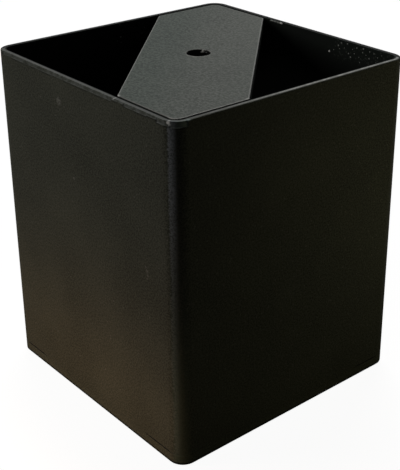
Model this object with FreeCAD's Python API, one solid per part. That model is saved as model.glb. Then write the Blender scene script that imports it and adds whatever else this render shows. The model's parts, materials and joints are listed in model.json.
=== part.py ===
# Square steel table leg: a cut of square tube, a diagonal mounting plate welded
# just inside its upper end, and a closing plate welded under its lower end.
# Millimetres. The origin is the centre of the underside, +Z is up, and the tube's
# walls face X and Y. The mounting plate runs from corner (+X, -Y) to (-X, +Y).
import FreeCAD, Part
import math
import os

V = FreeCAD.Vector

# Square tube
tube_side = 100.0
tube_wall = 2.0
tube_corner_radius = 5.5
tube_length = 116.0
rim_outer_radius = 0.4
rim_inner_radius = 0.25

# Band ground by hand along the outside of the front rim and round its right corner
ground_depth = 0.4
ground_ledge = 0.2

# The grinder's strokes: where each starts, as a share of the front's flat width from
# its left end, and how far down from the rim it reaches
ground_strokes = ((0.0, 1.1), (0.72, 0.5), (0.79, 1.0), (0.92, 0.7), (0.97, 1.5), (1.03, 1.9))

# Closing plate, cut to the tube's outline
base_thickness = 4.0
base_lower_radius = 0.5
seam_chamfer = 0.25

# Mounting plate, cut from flat bar
bar_width = 40.0
bar_thickness = 4.0
plate_recess = 0.2
plate_near_gap = 1.1
plate_far_gap = 0.4
plate_edge_radius = 0.3
bolt_hole_diameter = 8.2

# Fillet welds under the mounting plate
plate_weld_length = 20.0
plate_weld_leg = 3.0
plate_weld_root = 0.8
plate_weld_bulge = 0.45
ripple_pitch = 1.6
ripple_drop = 0.3

# Welds along the seam of the closing plate, ground flush with the walls
base_weld_length = 62.0
base_weld_width = 1.8
base_weld_depth = 1.0
base_weld_taper = 3.0

# Levels and half widths worked out from the sizes above
leg_height = base_thickness + tube_length
half_outside = tube_side / 2
half_inside = half_outside - tube_wall
inner_corner_radius = max(tube_corner_radius - tube_wall, 0)
plate_gaps = {
    "front": plate_near_gap, "right": plate_near_gap,
    "back": plate_far_gap, "left": plate_far_gap}
plate_shift = (plate_near_gap - plate_far_gap) / 2
plate_half = half_inside - (plate_near_gap + plate_far_gap) / 2
plate_tip_radius = max(inner_corner_radius - (half_inside - plate_half), 0)
plate_top = leg_height - plate_recess
plate_underside = plate_top - bar_thickness

# The four sides, as turns about Z from the front wall, which faces -Y
SIDES = {"front": 0, "right": 90, "back": 180, "left": 270}

# How closely an edge matches the level or the half width that picks it
match = 0.01


def rounded_square(half, radius, z):
    """Closed wire: a square of the given half width with round corners."""
    edges = []
    flat = half - radius
    for quarter in range(4):
        turn = FreeCAD.Rotation(V(0, 0, 1), 90 * quarter)
        start = turn.multVec(V(-flat, -half, z))
        end = turn.multVec(V(flat, -half, z))
        edges.append(Part.makeLine(start, end))
        if radius > 0:
            reach = radius / math.sqrt(2)
            middle = turn.multVec(V(flat + reach, -flat - reach, z))
            corner_end = turn.multVec(V(half, -flat, z))
            edges.append(Part.Arc(end, middle, corner_end).toShape())
    return Part.Wire(edges)


def rounded_prism(half, radius, z_low, z_high):
    """Upright prism on a rounded square."""
    face = Part.Face(rounded_square(half, radius, z_low))
    return face.extrude(V(0, 0, z_high - z_low))


def level_edges(solid, z):
    """The edges that lie level at z."""
    edges = []
    for edge in solid.Edges:
        if abs(edge.BoundBox.ZMin - z) < match and abs(edge.BoundBox.ZMax - z) < match:
            edges.append(edge)
    return edges


def loop_edges(solid, z, half):
    """The edges at z of a rounded square of the given half width."""
    edges = []
    for edge in level_edges(solid, z):
        box = edge.BoundBox
        reach = max(-box.XMin, box.XMax, -box.YMin, box.YMax)
        if abs(reach - half) < match:
            edges.append(edge)
    return edges


def one_solid(shape):
    """The single solid that a cut or a common leaves."""
    return shape.removeSplitter().Solids[0]


def on_side(shape, side):
    """A shape built at the front wall, turned to the named side."""
    turned = shape.copy()
    turned.rotate(V(0, 0, 0), V(0, 0, 1), SIDES[side])
    return turned


def ground_stroke(start, end, height):
    """What one stroke of the grinder took off the front rim, with a ledge below."""
    low = leg_height - height
    wires = []
    for inset, z in ((0, low), (ground_ledge, low + ground_ledge), (ground_depth, leg_height)):
        wires.append(rounded_square(half_outside - inset, tube_corner_radius - inset, z))
    kept = Part.makeLoft(wires, True, True)
    region = Part.makeBox(
        end - start, tube_corner_radius + ground_depth, height,
        V(start, -half_outside - ground_depth, low))
    return region.cut(kept)


def ground_band():
    """The strokes side by side, from the left corner's end to round the right corner."""
    flat = half_outside - tube_corner_radius
    starts = [(2 * share - 1) * flat for share, height in ground_strokes]
    ends = starts[1:] + [half_outside + ground_depth]
    strokes = []
    for start, end, (share, height) in zip(starts, ends, ground_strokes):
        if end > start:
            strokes.append(ground_stroke(start, end, height))
    return strokes


def base_weld_metal():
    """One weld run in the seam at the front wall: a V section with pointed ends."""
    half_length = base_weld_length / 2
    face_y = -half_outside
    root_y = face_y + base_weld_depth
    half_width = base_weld_width / 2
    section = Part.makePolygon([
        V(-half_length, face_y, base_thickness + half_width),
        V(-half_length, root_y, base_thickness),
        V(-half_length, face_y, base_thickness - half_width),
        V(-half_length, face_y, base_thickness + half_width)])
    run = Part.Face(section).extrude(V(base_weld_length, 0, 0))
    low = base_thickness - half_width
    inner_half = half_length - base_weld_taper
    outline = Part.makePolygon([
        V(-half_length, face_y, low),
        V(half_length, face_y, low),
        V(inner_half, root_y, low),
        V(-inner_half, root_y, low),
        V(-half_length, face_y, low)])
    boat = Part.Face(outline).extrude(V(0, 0, base_weld_width))
    return one_solid(run.common(boat))


def tube():
    """Square tube standing on the closing plate, open above."""
    outside = rounded_prism(half_outside, tube_corner_radius, base_thickness, leg_height)
    inside = rounded_prism(half_inside, inner_corner_radius, base_thickness, leg_height)
    body = outside.cut(inside)
    body = body.makeFillet(rim_outer_radius, loop_edges(body, leg_height, half_outside))
    body = body.makeFillet(rim_inner_radius, loop_edges(body, leg_height, half_inside))
    body = body.makeChamfer(seam_chamfer, loop_edges(body, base_thickness, half_outside))
    for stroke in ground_band():
        body = body.cut(stroke)
    for side in SIDES:
        body = body.cut(on_side(base_weld_metal(), side))
    return one_solid(body)


def base_plate():
    """Closing plate with the tube's outline, its lower edge rounded."""
    body = rounded_prism(half_outside, tube_corner_radius, 0, base_thickness)
    body = body.makeFillet(base_lower_radius, level_edges(body, 0))
    body = body.makeChamfer(seam_chamfer, level_edges(body, base_thickness))
    for side in SIDES:
        body = body.cut(on_side(base_weld_metal(), side))
    return one_solid(body)


def mounting_plate():
    """Flat bar across the tube's diagonal, cut to fit the corners and set to the far one."""
    square = rounded_prism(plate_half, plate_tip_radius, plate_underside, plate_top)
    diagonal = 2 * math.sqrt(2) * half_outside
    bar = Part.makeBox(
        diagonal, bar_width, bar_thickness,
        V(-diagonal / 2, -bar_width / 2, plate_underside))
    bar.rotate(V(0, 0, 0), V(0, 0, 1), -45)
    hole = Part.makeCylinder(
        bolt_hole_diameter / 2, bar_thickness, V(0, 0, plate_underside), V(0, 0, 1))
    strip = square.common(bar)
    strip.translate(V(-plate_shift, plate_shift, 0))
    body = one_solid(strip.cut(hole))
    return one_solid(body.makeFillet(plate_edge_radius, level_edges(body, plate_top)))


def bead_section(along, leg, gap):
    """Closed wire of a fillet weld: it fills the gap at the wall and lies under the plate."""
    wall_y = -half_inside
    plate_y = wall_y + gap
    root_z = plate_underside + plate_weld_root
    toe_y = plate_y + leg
    toe_z = plate_underside - gap - leg
    middle_y = (wall_y + toe_y) / 2 + plate_weld_bulge
    middle_z = (plate_underside + toe_z) / 2 - plate_weld_bulge
    wall_root = V(along, wall_y, root_z)
    plate_root = V(along, plate_y, root_z)
    plate_corner = V(along, plate_y, plate_underside)
    plate_toe = V(along, toe_y, plate_underside)
    wall_toe = V(along, wall_y, toe_z)
    face = Part.Arc(plate_toe, V(along, middle_y, middle_z), wall_toe).toShape()
    return Part.Wire([
        Part.makeLine(wall_root, plate_root),
        Part.makeLine(plate_root, plate_corner),
        Part.makeLine(plate_corner, plate_toe),
        face,
        Part.makeLine(wall_toe, wall_root)])


def plate_weld_metal(side):
    """Rippled fillet weld along one of the four contacts of the mounting plate."""
    contact_near = plate_half - plate_tip_radius
    contact_far = plate_half - bar_width / math.sqrt(2)
    centre = (contact_near + contact_far) / 2
    hand = 1 if side in ("front", "back") else -1
    ripples = max(round(plate_weld_length / ripple_pitch), 2)
    step = plate_weld_length / (2 * ripples)
    sections = []
    for index in range(2 * ripples + 1):
        crest = index % 2 == 1
        leg = plate_weld_leg if crest else plate_weld_leg - ripple_drop
        from_centre = index * step - plate_weld_length / 2
        sections.append(bead_section(hand * (centre + from_centre), leg, plate_gaps[side]))
    return on_side(Part.makeLoft(sections, True, True), side)


nodes = {
    "tube": tube(),
    "base_plate": base_plate(),
    "mounting_plate": mounting_plate(),
}
for side in SIDES:
    nodes["plate_weld_" + side] = plate_weld_metal(side)
    nodes["base_weld_" + side] = on_side(base_weld_metal(), side)

os.makedirs("parts", exist_ok=True)
for name, shape in nodes.items():
    shape.exportStep("parts/" + name + ".step")
    print(name, len(shape.Solids), shape.isValid(), round(shape.Volume, 3))
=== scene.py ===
import bmesh
import bpy
import json
import math
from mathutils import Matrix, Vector


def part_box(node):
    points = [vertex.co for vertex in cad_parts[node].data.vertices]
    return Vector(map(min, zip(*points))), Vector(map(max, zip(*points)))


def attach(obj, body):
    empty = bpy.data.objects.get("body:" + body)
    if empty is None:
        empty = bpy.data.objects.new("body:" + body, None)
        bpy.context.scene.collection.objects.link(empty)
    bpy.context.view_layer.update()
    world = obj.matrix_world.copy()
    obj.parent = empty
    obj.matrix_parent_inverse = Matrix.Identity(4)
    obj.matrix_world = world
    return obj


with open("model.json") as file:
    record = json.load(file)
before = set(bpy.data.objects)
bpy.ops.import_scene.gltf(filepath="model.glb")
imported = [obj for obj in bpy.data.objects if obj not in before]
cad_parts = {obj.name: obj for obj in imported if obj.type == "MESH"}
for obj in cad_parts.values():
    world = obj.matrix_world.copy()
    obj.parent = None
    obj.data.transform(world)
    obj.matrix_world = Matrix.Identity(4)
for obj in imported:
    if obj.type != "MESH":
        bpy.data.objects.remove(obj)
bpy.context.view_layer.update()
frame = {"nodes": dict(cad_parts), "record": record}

# The tube is a cut of 100 mm square steel tube with 2 mm walls, open above. Its rim was
# dressed with a grinder along the front and round the right corner. All of the leg is
# sprayed with black powder, which bakes to a fine matt grain and is thin on sharp edges.
# Some of the colours below are painted light: highlights on edges and corners, and shade.

# Sizes and places are in millimetres, and patterns in waves for each millimetre.
millimetre = 0.001
tube_low, tube_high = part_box("tube")
half_outside = round(tube_high.x / millimetre, 3)
rim_level = round(tube_high.z / millimetre, 3)
seam_level = round(tube_low.z / millimetre, 3)
wall = 2.0
outer_radius = 5.5
inner_radius = outer_radius - wall
half_inside = half_outside - wall
corner_centre = half_outside - outer_radius
seam_weld_half = 31.0
coat_gloss = 0.012
coat_roughness = 0.56
grain_scale = 1.7
peel_scale = 0.42
cloud_scale = 0.028
grain_strength = 0.55
grain_depth = 0.05
black = (0.0135, 0.0146, 0.0114, 1)
black_pale = (0.0520, 0.0560, 0.0450, 1)


class Field:
    """A socket whose value changes over the surface; sums and products of fields
    add Math nodes to its material."""

    def __init__(self, socket):
        self.socket = socket

    def node(self, kind, settings, sockets, output=0):
        """A new node: its settings come first, then its sockets' values or links."""
        tree = self.socket.id_data
        made = tree.nodes.new("ShaderNode" + kind)
        for name, value in settings.items():
            setattr(made, name, value)
        for name, value in sockets.items():
            if isinstance(value, Field):
                tree.links.new(value.socket, made.inputs[name])
            else:
                made.inputs[name].default_value = value
        return Field(made.outputs[output])

    def maths(self, operation, *values):
        return self.node("Math", {"operation": operation}, dict(enumerate(values)))

    def __add__(self, other):
        return self.maths("ADD", self, other)

    def __radd__(self, other):
        return self.maths("ADD", other, self)

    def __sub__(self, other):
        return self.maths("SUBTRACT", self, other)

    def __rsub__(self, other):
        return self.maths("SUBTRACT", other, self)

    def __mul__(self, other):
        return self.maths("MULTIPLY", self, other)

    def __rmul__(self, other):
        return self.maths("MULTIPLY", other, self)

    def __abs__(self):
        return self.maths("ABSOLUTE", self)

    def larger(self, other):
        return self.maths("MAXIMUM", self, other)

    def smaller(self, other):
        return self.maths("MINIMUM", self, other)

    def length_with(self, other):
        """Length of the slant whose two legs are the fields."""
        return self.maths("SQRT", self * self + other * other)

    def above(self, low, high):
        """0 up to low, 1 from high and smooth between them."""
        return self.node(
            "MapRange", {"interpolation_type": "SMOOTHSTEP"},
            {"Value": self, "From Min": low, "From Max": high})

    def below(self, low, high):
        """1 up to low, 0 from high and smooth between them."""
        return 1 - self.above(low, high)

    def between(self, at_none, at_full):
        """The first value where the field is 0 and the second where it is 1."""
        return at_none + (at_full - at_none) * self

    def noise(self, scale, detail=2.0, roughness=0.5):
        return self.node(
            "TexNoise", {},
            {"Vector": self, "Scale": scale, "Detail": detail, "Roughness": roughness})

    def dots(self, scale, size, share):
        """Round dots in that share of the cells of a grid without order."""
        sockets = {"Vector": self, "Scale": scale}
        near = self.node("TexVoronoi", {"feature": "F1"}, sockets, "Distance")
        chance = self.node("TexVoronoi", {"feature": "F1"}, sockets, "Color")
        pick = chance.node("SeparateColor", {}, {"Color": chance}, "Red")
        return near.below(size * 0.5, size) * pick.above(1 - share, 1 - share * 0.6)

    def paint(self, under, over):
        """Colour under where the field is 0 and colour over where it is 1."""
        return self.node(
            "Mix", {"data_type": "RGBA"}, {"Factor": self, 6: under, 7: over}, 2)

    def bump(self, strength, depth):
        """Normals of this height; depth is in metres."""
        return self.node(
            "Bump", {}, {"Height": self, "Strength": strength, "Distance": depth})


class Coat:
    """The powder coat of a piece, with the place on it in millimetres."""

    def __init__(self, name, dark, pale, grain=grain_scale):
        self.material = bpy.data.materials.new(name)
        self.material.use_nodes = True
        tree = self.material.node_tree
        self.shader = tree.nodes["Principled BSDF"]
        self.shader.inputs["Specular IOR Level"].default_value = coat_gloss
        place = Field(tree.nodes.new("ShaderNodeTexCoord").outputs["Object"])
        self.place = place.node(
            "VectorMath", {"operation": "SCALE"}, {0: place, "Scale": 1 / millimetre})
        self.x, self.y, self.z = (
            self.place.node("SeparateXYZ", {}, {"Vector": self.place}, axis)
            for axis in "XYZ")
        self.fine = self.place.noise(grain, 3.0, 0.8)
        self.peel = self.place.noise(peel_scale, 1.0)
        self.cloud = self.place.noise(cloud_scale, 3.0, 0.55)
        self.bumps = self.fine * 0.75 + self.peel * 0.9
        tone = self.cloud.above(0.25, 0.75) * 0.25 + self.fine.above(0.40, 0.60) * 0.6
        self.colour = tone.paint(dark, pale)

    def reach(self):
        """Distance from the centres of the tube's corners, and from the lines
        between them: the inner radius on the inside and the outer one outside."""
        across = (abs(self.x) - corner_centre).larger(0.0)
        along = (abs(self.y) - corner_centre).larger(0.0)
        return across.length_with(along)

    def near_corner(self):
        """The corner between the front and the right wall."""
        return self.x.above(45.5, 47.5) * self.y.below(-47.0, -44.5)

    def seam_ends(self):
        """The open ends of the seam, from each ground weld to the corners. Their darkening
        is fainter on the right wall near the front."""
        from_middle = abs(self.x).smaller(abs(self.y))
        ends = from_middle.above(seam_weld_half - 2, seam_weld_half + 4)
        ends = ends * from_middle.below(43.0, 46.0)
        fainter_part = self.x.above(49.0, 49.5) * self.y.below(-10.0, 0.0)
        return ends * fainter_part.between(1.0, 0.3)

    def tint(self, mask, colour):
        """Lays a colour over the coat where the mask is 1."""
        self.colour = mask.paint(self.colour, colour)

    def finish(self, smoothness=0.0, depth=grain_depth):
        """Feeds the shader with the colour, patchy roughness and the baked grain."""
        patchy = coat_roughness + 0.16 * self.cloud + 0.10 * self.fine
        fed = {
            "Base Color": self.colour,
            "Roughness": patchy - smoothness,
            "Normal": self.bumps.bump(grain_strength, depth * millimetre)}
        for name, value in fed.items():
            self.material.node_tree.links.new(value.socket, self.shader.inputs[name])

    def spray(self, *nodes):
        """Puts the coat on these solids."""
        for node in nodes:
            for slot in frame["nodes"][node].material_slots:
                slot.material = self.material


tube_coat = Coat("tube powder coat", black, black_pale)
reach = tube_coat.reach()

# Patches some millimetres wide, where wear, painted highlights and painted shade along an
# edge are stronger than beside them.
patches = tube_coat.place.noise(0.3, 4.0, 0.7).above(0.35, 0.6)

# A paler strip runs down each rounded corner, partly wear where the coat is thin and partly
# a painted highlight. It is narrower, more frayed and fainter towards the foot, and faint on
# the two corners behind.
strip_wear_and_highlight = (0.104, 0.118, 0.131, 1)
frayed_heights = (55.0, 95.0)
narrow_heights = (35.0, 80.0)
faint_heights = (60.0, 105.0)
turned = (abs(tube_coat.x) - corner_centre) * (1 / outer_radius)
frayed = tube_coat.z.below(*frayed_heights).between(0.25, 0.75)
ragged = turned + frayed * (tube_coat.fine - 0.5)
narrower = 0.06 * tube_coat.z.below(*narrow_heights)
strip = ragged.above(0.33, 0.48) * (ragged + narrower).below(0.66, 0.82)
strip = strip * abs(tube_coat.y).above(46.5, 47.4)
specked = tube_coat.fine.above(0.38, 0.62)
strip_strength = 0.08 + 0.5 * tube_coat.peel + 0.66 * specked
strip_strength = strip_strength * tube_coat.y.above(-1.0, 1.0).between(1.0, 0.2)
strip_strength = strip_strength * tube_coat.z.above(*faint_heights).between(0.32, 1.0)
tube_coat.tint(strip * strip_strength, strip_wear_and_highlight)

# The near corner was sprayed thicker towards the foot and has a greener cast there.
corner_green = (0.034, 0.051, 0.041, 1)
green_heights = (25.0, 90.0)
tube_coat.tint(
    tube_coat.near_corner() * tube_coat.z.below(*green_heights) * 0.55, corner_green)

# Painted shade darkens the corners to the right and left of it, the right one more so.
shade_and_seam_black = (0.008, 0.008, 0.008, 1)
right_corner = tube_coat.x.above(46.0, 47.5) * tube_coat.y.above(45.2, 47.0)
left_corner = tube_coat.x.below(-48.5, -46.5) * tube_coat.y.below(-46.5, -45.0)
tube_coat.tint((right_corner * 0.45).larger(left_corner * 0.25), shade_and_seam_black)

# The grinder's strokes lie below the old face. They are bare in streaks, more so to the
# right. Their lower ledges and the ground face round the corner are painted paler as
# highlights.
dressed_black = (0.081, 0.089, 0.086, 1)
dressed_highlight = (0.110, 0.136, 0.124, 1)
ledge_inset = 0.2
ground = reach.below(outer_radius - 0.05, outer_radius - 0.01)
ground = ground * tube_coat.z.above(rim_level - 3.0, rim_level - 2.5)
ground = ground * tube_coat.y.below(-44.0, -43.0)
ledge = reach.above(outer_radius - ledge_inset - 0.02, outer_radius - ledge_inset + 0.03)
streaks = tube_coat.place.noise(0.55, 3.0, 0.65).above(0.42, 0.62)
bare_and_lit = 0.15 + 0.35 * ledge * patches + 0.55 * streaks
bare_and_lit = bare_and_lit * tube_coat.x.above(-25.0, 10.0).between(0.6, 1.0)
tube_coat.tint(ground * bare_and_lit, dressed_black)
lit_corner_face = turned.above(0.62, 0.92) * tube_coat.x.above(40.0, 41.0)
tube_coat.tint(ground * lit_corner_face, dressed_highlight)

# Painted shade darkens the coat just below the sharp edge of each stroke. A stroke starts at
# a share of the front's flat width and reaches this far down from the rim.
ground_strokes = (
    (-0.20, 1.1), (0.72, 0.5), (0.79, 1.0), (0.92, 0.7), (0.97, 1.5), (1.03, 1.9))
below_stroke = rim_level - tube_coat.z
last_height = 0
for share, height in ground_strokes:
    start = (2 * share - 1) * corner_centre
    begun = tube_coat.x.above(start - 0.05, start + 0.05)
    below_stroke = below_stroke - begun * (height - last_height)
    last_height = height
shaded = below_stroke.above(-0.05, 0.05) * below_stroke.below(0.25, 0.75)
shaded = shaded * tube_coat.y.below(-46.0, -45.0) * patches
tube_coat.tint(shaded * 0.55, shade_and_seam_black)

# The rim is painted paler, partly rubbed wear and partly painted highlight, most along the
# right wall and less in front. At the back and on the left it keeps its full black coat, and
# painted shade darkens its top there.
rim_black = (0.062, 0.064, 0.062, 1)
rim_wear_and_highlight = (0.25, 0.252, 0.242, 1)
darkest_black_and_shade = (0.0050, 0.0057, 0.0053, 1)
rim = tube_coat.z.above(rim_level - 0.20, rim_level - 0.02)
rim = rim * reach.above(inner_radius + 0.35, inner_radius + 0.6)
rim = rim * reach.below(outer_radius - 0.9, outer_radius - 0.4)
back_and_left = tube_coat.y.above(47.0, 48.0).larger(tube_coat.x.below(-48.0, -47.0))
rubbed_and_lit = back_and_left.between(1.0, 0.04) * patches.between(0.45, 1.0)
right_wall = tube_coat.x.above(46.5, 48.5) * tube_coat.y.above(-50.0, 15.0)
tube_coat.tint(rim * rubbed_and_lit, right_wall.paint(rim_black, rim_wear_and_highlight))
far_walls = tube_coat.y.above(46.9, 47.6).larger(tube_coat.x.below(-47.6, -46.9))
far_rim = far_walls * tube_coat.z.above(rim_level - 1.4, rim_level - 0.8)
tube_coat.tint(far_rim * 0.92, darkest_black_and_shade)

# The ground corner has two painted highlights and the rim in front another. Each is given by
# its place across and up the front wall, its size and its strength.
steel_and_glint = (0.48, 0.49, 0.48, 1)
rim_glints = ((46.6, 119.55, 0.7, 0.9), (47.1, 119.0, 0.5, 0.5), (20.6, 119.9, 0.45, 0.30))
for glint_x, glint_z, glint_size, strength in rim_glints:
    from_glint = (tube_coat.x - glint_x).length_with(tube_coat.z - glint_z)
    glint_spot = from_glint.below(glint_size * 0.3, glint_size) * tube_coat.y.below(-48.8, -48.2)
    glint = tube_coat.fine.between(0.6, 1.2) * strength
    tube_coat.tint(glint_spot * glint, steel_and_glint)

# Grains that stand out of the coat, and a few nibs on the front wall, the lowest like a
# short fibre.
fleck_grey = (0.17, 0.17, 0.16, 1)
nibs = (
    (-10.2, 111.0, 1.9), (-3.9, 86.0, 0.7),
    (34.5, 68.7, 0.6), (35.2, 67.5, 0.8), (35.5, 66.0, 0.7), (35.1, 64.8, 0.5))
tube_coat.tint(tube_coat.place.dots(0.7, 0.24, 0.08) * 0.16, fleck_grey)
front = tube_coat.y.below(-half_outside + 0.1, -half_outside + 0.5)
for nib_x, nib_z, nib_size in nibs:
    from_nib = (tube_coat.x - nib_x).length_with(tube_coat.z - nib_z)
    nib = from_nib.below(nib_size * 0.2, nib_size) * front * tube_coat.fine.above(0.3, 0.6)
    tube_coat.tint(nib * 0.35, fleck_grey)
    tube_coat.bumps = tube_coat.bumps + nib

# The seam is darker beyond the ground welds.
above_seam = tube_coat.z.below(seam_level + 0.18, seam_level + 0.32)
tube_coat.tint(above_seam * tube_coat.seam_ends(), shade_and_seam_black)

# Painted shade makes the inside walls and the rim's inner edge nearly black. Painted light
# makes them a little paler towards the rim on the right, and dust sticks to the back wall
# there.
inside_lit_pale = (0.0078, 0.0100, 0.0088, 1)
dust_grey = (0.060, 0.068, 0.060, 1)
paler_heights = (104.0, 119.0)
dusty_heights = (111.5, 114.0)
paler = tube_coat.z.above(*paler_heights) * tube_coat.x.above(-5.0, 40.0).between(0.4, 1.0)
inside = reach.below(inner_radius + 0.35, inner_radius + 0.6)
tube_coat.tint(inside * 0.985, paler.paint(darkest_black_and_shade, inside_lit_pale))
dusty = tube_coat.z.above(*dusty_heights) * tube_coat.y.above(46.0, 47.5)
dusty = dusty * tube_coat.x.above(12.0, 22.0) * tube_coat.place.dots(1.3, 0.45, 0.5)
tube_coat.tint(inside * dusty * 0.35, dust_grey)
tube_coat.finish()
tube_coat.spray("tube")

# The closing plate is 4 mm sheet with the tube's own outline. It was welded to the tube
# along the middle of each side, and the welds were ground flush before spraying, so the
# seam shows only near the corners. Its lower edge is darker.
base_black = (0.0155, 0.0170, 0.0130, 1)
base_pale = (0.058, 0.063, 0.050, 1)
lower_edge = (0.65, 1.45)
base_coat = Coat("closing plate powder coat", base_black, base_pale)
base_coat.tint(base_coat.near_corner() * 0.6, corner_green)
base_coat.tint(base_coat.z.below(*lower_edge) * 0.85, darkest_black_and_shade)
below_seam = base_coat.z.above(seam_level - 0.32, seam_level - 0.18)
base_coat.tint(below_seam * base_coat.seam_ends(), shade_and_seam_black)
base_coat.finish()
base_coat.spray("base_plate")

# Four weld runs close the seam along the middle of each side. They are steel laid in a
# V groove, ground flush with the walls and sprayed with the rest, a little smoother.
seam_coat = Coat("ground seam powder coat", black, black_pale)
seam_coat.finish(smoothness=0.04)
seam_coat.spray("base_weld_front", "base_weld_right", "base_weld_back", "base_weld_left")

# The mounting plate is 40 x 4 mm flat bar laid across the tube's diagonal, with both
# ends cut to fit the corners and one hole for the screw. It lies a hair below the rim, and
# like the rim its edges are painted paler, partly rubbed wear and partly painted highlight.
plate_low, plate_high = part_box("mounting_plate")
plate_half = round((plate_high.x - plate_low.x) / 2 / millimetre, 3)
plate_front = round(plate_high.x / millimetre, 3)
plate_top = round(plate_high.z / millimetre, 3)
plate_shift = plate_half - plate_front
plate_tip_radius = plate_half - corner_centre
bar_half = 20.0
mounts = {mount["name"]: mount for mount in frame["record"]["mounts"]}
hole_radius = mounts["bolt_hole"]["dims"]["r_mm"]
plate_grain_scale = 1.1
plate_black = (0.0170, 0.0200, 0.0180, 1)
plate_green = (0.024, 0.0385, 0.032, 1)
plate_pale = (0.097, 0.104, 0.095, 1)
plate_edge = (0.115, 0.117, 0.11, 1)
plate_wear_and_highlight = (0.155, 0.158, 0.152, 1)
plate_coat = Coat("mounting plate powder coat", plate_black, plate_pale, plate_grain_scale)

# The bar is paler along its right side and greener along its left, and pale grains
# stand out of its coat.
across = (plate_coat.x + plate_coat.y) * math.sqrt(0.5)
plate_coat.tint(across.above(-22.0, 22.0) * 0.30, plate_pale)
plate_coat.tint(across.below(-14.0, 6.0) * 0.30, plate_green)
plate_coat.tint(plate_coat.place.dots(0.7, 0.28, 0.10) * 0.4, plate_edge)

# The tips and the hole's lip are painted paler, partly rubbed wear and partly painted
# highlight, most of all on the side near the front corner.
tip_across = (abs(plate_coat.x + plate_shift) - corner_centre).larger(0.0)
tip_along = (abs(plate_coat.y - plate_shift) - corner_centre).larger(0.0)
tips = tip_across.length_with(tip_along)
tips = tips.above(plate_tip_radius - 0.5, plate_tip_radius - 0.25)
from_hole = plate_coat.x.length_with(plate_coat.y)
lip = from_hole.below(hole_radius + 0.15, hole_radius + 0.55)
plate_coat.tint(tips.larger(lip) * plate_coat.peel.between(0.4, 1.0), plate_edge)
near_lip = from_hole.below(hole_radius + 0.6, hole_radius + 1.1)
near_lip = near_lip * (plate_coat.x - plate_coat.y).above(3.0, 5.5)
plate_coat.tint(near_lip * 0.5, plate_wear_and_highlight)
plate_coat.tint(tips * plate_coat.x.above(42.5, 45.0) * 0.8, rim_wear_and_highlight)

# The two long edges are painted paler, mostly as highlight, and a painted highlight is
# brightest where the near end's corners meet the walls.
long_edge = abs(across).above(bar_half - 0.50, bar_half - 0.36)
long_edge = long_edge * plate_coat.peel.between(0.7, 1.2)
long_edge = long_edge * across.above(-15.0, 15.0).between(0.7, 1.0)
plate_coat.tint(long_edge, plate_wear_and_highlight)
end_corner = plate_front - bar_half * math.sqrt(2)
for corner_x, corner_y in ((end_corner, -plate_front), (plate_front, -end_corner)):
    from_corner = (plate_coat.x - corner_x).length_with(plate_coat.y - corner_y)
    plate_coat.tint(from_corner.below(0.6, 1.3) * 0.7, rim_wear_and_highlight)

# Painted shade darkens the cut sides below the edges.
plate_coat.tint(plate_coat.z.below(plate_top - 0.30, plate_top - 0.08), darkest_black_and_shade)
plate_coat.finish()
plate_coat.spray("mounting_plate")

# Four fillet welds hold the plate from below, one on each wall. The powder lies smooth
# and thick on their ripples.
smooth_depth = 0.03
weld_coat = Coat("weld powder coat", darkest_black_and_shade, black)
weld_coat.finish(smoothness=0.12, depth=smooth_depth)
weld_coat.spray("plate_weld_front", "plate_weld_right", "plate_weld_back", "plate_weld_left")

# Beads of weld spatter stuck to the walls inside before the leg was sprayed. They are
# flat steel domes with a thin grey skin of powder, most of them near the back weld.
spatter_grey = (0.085, 0.093, 0.086, 1)
spatter_pale = (0.26, 0.275, 0.26, 1)
bead_rise = 0.55
bead_roughness = 0.12
smooth_angle = math.radians(50)
cut_threshold = 0.0001

# Each bead's place along its wall, its depth below the rim and its radius.
back_beads = (
    (15.5, 5.4, 0.42), (17.6, 4.4, 0.16), (19.9, 2.3, 0.30), (20.6, 3.4, 0.24),
    (21.4, 1.1, 0.28), (22.8, 2.6, 0.18), (24.3, 0.8, 0.24), (24.9, 4.2, 0.26),
    (26.0, 5.3, 0.30), (26.8, 2.2, 0.16), (27.6, 3.6, 0.22), (28.8, 1.3, 0.26),
    (29.9, 4.4, 0.18), (30.4, 6.2, 0.18), (31.9, 0.9, 0.36), (31.6, 2.3, 0.24),
    (33.1, 2.9, 0.18), (34.8, 1.3, 0.26), (34.7, 3.8, 0.28), (36.8, 1.6, 0.24),
    (37.9, 4.6, 0.18), (38.5, 2.6, 0.20), (40.2, 1.5, 0.20), (-15.2, 10.5, 0.24))
left_beads = (
    (1.3, 0.6, 0.28), (1.5, 5.4, 0.36), (-0.1, 6.6, 0.22), (1.6, 7.4, 0.24),
    (12.6, 3.6, 0.18), (11.3, 5.6, 0.20))
up = Vector((0, 0, 1))


def open_piece(name):
    """A new piece with an empty mesh, open in edit mode."""
    bpy.ops.object.select_all(action="DESELECT")
    bpy.ops.object.add(type="MESH", location=(0, 0, 0))
    piece = bpy.context.object
    piece.name = name
    bpy.ops.object.mode_set(mode="EDIT")
    return piece


def add_ball(spot, radius):
    """A ball in the open piece, alone in the selection."""
    bpy.ops.mesh.select_all(action="DESELECT")
    bpy.ops.mesh.primitive_ico_sphere_add(
        subdivisions=3, radius=radius * millimetre, location=spot)


def cut_beyond(spot, way):
    """Cuts off what is selected beyond the spot, and closes the cut."""
    bpy.ops.mesh.bisect(
        plane_co=spot, plane_no=way, use_fill=True, clear_outer=True,
        threshold=cut_threshold * millimetre)


def close_piece():
    """Turns all faces of the open piece outwards and shades it smooth."""
    bpy.ops.mesh.select_all(action="SELECT")
    bpy.ops.mesh.normals_make_consistent(inside=False)
    bpy.ops.object.mode_set(mode="OBJECT")
    bpy.ops.object.shade_smooth_by_angle(angle=smooth_angle)


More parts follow.
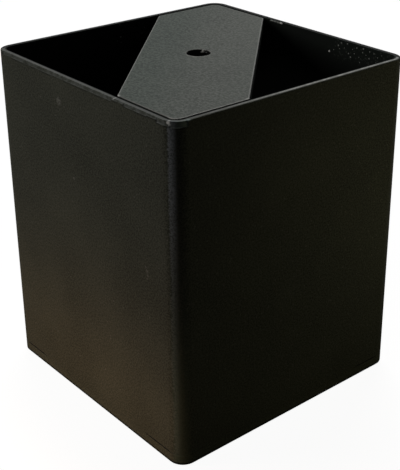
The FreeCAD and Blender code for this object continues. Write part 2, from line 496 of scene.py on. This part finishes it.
spatter = open_piece("weld_spatter")
for outwards, beads in ((Vector((0, 1, 0)), back_beads), (Vector((-1, 0, 0)), left_beads)):
    wall_face = outwards * half_inside * millimetre
    flat = [1 - (1 - bead_rise) * abs(part) for part in outwards]
    for number, (along, down, radius) in enumerate(beads):
        from_face = outwards.cross(up) * along + up * (rim_level - down)
        spot = wall_face + from_face * millimetre
        add_ball(spot, radius)
        bpy.ops.transform.vertex_random(
            offset=radius * bead_roughness * millimetre, seed=number)
        bpy.ops.transform.resize(value=flat, center_override=spot)
        cut_beyond(wall_face, outwards)
close_piece()
spatter_coat = Coat("spatter powder coat", spatter_grey, spatter_pale)
largest = abs(spatter_coat.x - back_beads[0][0]).below(0.5, 0.8)
spatter_coat.tint(largest * spatter_coat.y.above(40.0, 41.0) * 0.9, steel_and_glint)
spatter_coat.finish(smoothness=0.1, depth=smooth_depth)
spatter.data.materials.append(spatter_coat.material)
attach(spatter, "root")

# The saw left a thin burr on the inner edge of the back wall. It is a sliver of the
# tube's own steel, bent over and sprayed with the rest, and brightest at its right end.
burr_start = -15.8
burr_end = -9.0
burr_radius = 0.24
burr_rings = 26
burr_necks = (-13.9, -12.1, -10.6)
burr_roughness = 0.09
burr_inset = 0.10
burr_drop = 0.36
burr_dark = (0.05, 0.053, 0.05, 1)
burr_pale = (0.24, 0.25, 0.24, 1)
burr_middle = Vector((
    (burr_start + burr_end) / 2, half_inside - burr_inset, rim_level - burr_drop))


def pinch_burr(place, reach_along, kept, aside, down):
    """Draws the open burr's rings near a place in to a share of their width, towards
    a point a little aside of its axis and below it."""
    bpy.ops.mesh.select_all(action="DESELECT")
    mesh = bmesh.from_edit_mesh(bpy.context.object.data)
    for vertex in mesh.verts:
        vertex.select_set(abs(vertex.co.x / millimetre - place) < reach_along)
    centre = Vector((place, burr_middle.y + aside, burr_middle.z - down)) * millimetre
    bpy.ops.transform.resize(value=(1, kept, kept), center_override=centre)


bpy.ops.object.select_all(action="DESELECT")
bpy.ops.mesh.primitive_cylinder_add(
    vertices=7, radius=burr_radius * millimetre, depth=(burr_end - burr_start) * millimetre,
    location=burr_middle * millimetre, rotation=(0, math.pi / 2, 0))
burr = bpy.context.object
burr.name = "rim_burr"
bpy.ops.object.transform_apply(location=True, rotation=True, scale=True)
bpy.ops.object.mode_set(mode="EDIT")
bpy.ops.mesh.select_all(action="DESELECT")
bpy.ops.mesh.select_mode(type="EDGE")
burr_mesh = bmesh.from_edit_mesh(burr.data)
for edge in burr_mesh.edges:
    run = abs(edge.verts[0].co.x - edge.verts[1].co.x)
    edge.select_set(run > millimetre)
bpy.ops.mesh.subdivide(number_cuts=burr_rings)
bpy.ops.mesh.select_mode(type="VERT")
for end in (burr_start, burr_end):
    pinch_burr(end, reach_along=0.02, kept=0.15, aside=0.08, down=0.04)
for neck in burr_necks:
    pinch_burr(neck, reach_along=0.3, kept=0.35, aside=0.06, down=0.06)
bpy.ops.mesh.select_all(action="SELECT")
bpy.ops.transform.vertex_random(offset=burr_roughness * millimetre, seed=3)
bpy.ops.object.mode_set(mode="OBJECT")
bpy.ops.object.shade_smooth_by_angle(angle=math.radians(60))
burr_coat = Coat("burr powder coat", burr_dark, burr_pale)
burr_coat.tint(burr_coat.x.above(-11.2, -10.0) * 0.8, steel_and_glint)
burr_coat.finish(smoothness=0.05, depth=smooth_depth)
burr.data.materials.append(burr_coat.material)
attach(burr, "root")

# Powder gathered into a drip on the far lip of the screw hole as it melted in the oven.
# It hangs from the lip as one wide drop with a small one on each side, a little lower.
drip_shape = (0.95, 0.95, 0.72)
drip_roughness = 0.03
drip_first_seed = 7
drip_root = hole_radius + 0.05
shadow_heights = (118.6, 119.15)

# Each drop's turn about the hole, its distance out, its height and its radius.
drip_drops = (
    (113.0, 4.25, 119.15, 1.0), (122.0, 4.20, 118.75, 0.65), (98.0, 4.15, 118.95, 0.40))
drip = open_piece("hole_drip")
for number, (turn, out, height, radius) in enumerate(drip_drops):
    outwards = Vector((math.cos(math.radians(turn)), math.sin(math.radians(turn)), 0))
    spot = (outwards * out + up * height) * millimetre
    add_ball(spot, radius)
    bpy.ops.transform.resize(value=drip_shape, center_override=spot)
    bpy.ops.transform.vertex_random(
        offset=drip_roughness * millimetre, seed=number + drip_first_seed)
    cut_beyond(outwards * drip_root * millimetre, outwards)
close_piece()
drip_coat = Coat("drip powder coat", plate_edge, plate_wear_and_highlight)
# Painted shadow darkens the drops' lower parts.
drip_coat.tint(drip_coat.z.below(*shadow_heights) * 0.8, plate_black)
drip_coat.finish(smoothness=0.12, depth=0.02)
drip.data.materials.append(drip_coat.material)
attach(drip, "root")

# The floor is a wide pale sheet just below the leg. It shows white all round and keeps the
# leg's soft shadow. Near the leg its white is left out of reflections, as a painted shadow
# that the foot of the leg reflects.
floor_grey = (0.05, 0.05, 0.05, 1)
white = (1, 1, 1, 1)
floor_light = 0.95
floor_size = 12
floor_level = -0.0002
foot_reach = (0.09, 0.20)
bpy.ops.object.select_all(action="DESELECT")
bpy.ops.mesh.primitive_grid_add(
    x_subdivisions=8, y_subdivisions=8, size=floor_size, location=(0, 0, floor_level))
floor = bpy.context.object
floor.name = "floor"
sheet = bpy.data.materials.new("pale floor")
sheet.use_nodes = True
tree = sheet.node_tree
shader = tree.nodes["Principled BSDF"]
shader.inputs["Base Color"].default_value = floor_grey
shader.inputs["Roughness"].default_value = 1.0
shader.inputs["Specular IOR Level"].default_value = 0.0
rays = tree.nodes.new("ShaderNodeLightPath").outputs
floor_place = Field(tree.nodes.new("ShaderNodeTexCoord").outputs["Object"])
from_leg = floor_place.node("VectorMath", {"operation": "LENGTH"}, {0: floor_place}, "Value")
away = from_leg.above(*foot_reach)
seen = (Field(rays["Is Glossy Ray"]) * away).larger(Field(rays["Is Camera Ray"]))
seen = seen.larger(Field(rays["Is Transmission Ray"]))
glow = seen.node("Emission", {}, {"Color": white, "Strength": seen * floor_light})
both = glow.node("AddShader", {}, {0: Field(shader.outputs[0]), 1: glow})
tree.links.new(both.socket, tree.nodes["Material Output"].inputs["Surface"])
floor.data.materials.append(sheet)

# The studio is white all round to the camera and in reflections, and almost dark as a
# light. Three soft lamps and a low warm strip light the leg.
ambient = 0.02
world = bpy.data.worlds.new("studio")
bpy.context.scene.world = world
world.use_nodes = True
tree = world.node_tree
background = tree.nodes["Background"]
rays = tree.nodes.new("ShaderNodeLightPath").outputs
seen = Field(rays["Is Camera Ray"]).larger(Field(rays["Is Glossy Ray"]))
seen = seen.larger(Field(rays["Is Transmission Ray"]))
background.inputs["Color"].default_value = white
tree.links.new(seen.between(ambient, 1).socket, background.inputs["Strength"])


def softbox(name, location, target, size, level, colour):
    """A square area lamp that lights a white sheet at the target to this level."""
    bpy.ops.object.light_add(type="AREA", location=location)
    lamp = bpy.context.object
    lamp.name = name
    way = Vector(target) - Vector(location)
    lamp.rotation_euler = way.to_track_quat("-Z", "Y").to_euler()
    lamp.data.shape = "SQUARE"
    lamp.data.size = size
    lamp.data.energy = level * math.pi ** 2 * way.length_squared
    lamp.data.color = colour
    lamp.visible_camera = False
    return lamp


softbox(
    "back softbox", location=(-1.15, 1.0, 1.45), target=(0, 0, 0.12),
    size=1.3, level=1.3, colour=(1.0, 0.995, 0.99))
softbox(
    "front softbox", location=(-0.21, -0.34, 0.27), target=(0, -0.05, 0.08),
    size=0.2, level=0.67, colour=(1.0, 0.95, 0.91))
softbox(
    "right softbox", location=(0.14, 0.09, 0.078), target=(0.05, 0.03, 0.07),
    size=0.06, level=0.325, colour=(1.0, 0.89, 0.51))
low_strip = softbox(
    "low warm strip", location=(0, -0.095, 0.006), target=(0, -0.05, 0.016),
    size=0.12, level=1.7, colour=(1.0, 0.60, 0.33))
low_strip.data.shape = "RECTANGLE"
low_strip.data.size_y = 0.01

# The camera stands as the photograph's did: in front of the right corner, above the leg.
# Its shift frames the leg a little off the middle of the lens, as the photograph does.
camera_place = (0.2701717, -0.2190758, 0.2240370)
camera_turn = (math.radians(65.7997), math.radians(-0.1804), math.radians(48.9683))
bpy.ops.object.camera_add(location=camera_place, rotation=camera_turn)
camera = bpy.context.object
camera.name = "camera"
camera.data.sensor_width = 36.0
camera.data.lens = 80.8939
camera.data.shift_x = -0.07447
camera.data.shift_y = -0.09149
camera.data.clip_start = 0.01
scene = bpy.context.scene
scene.camera = camera
scene.view_settings.view_transform = "Standard"
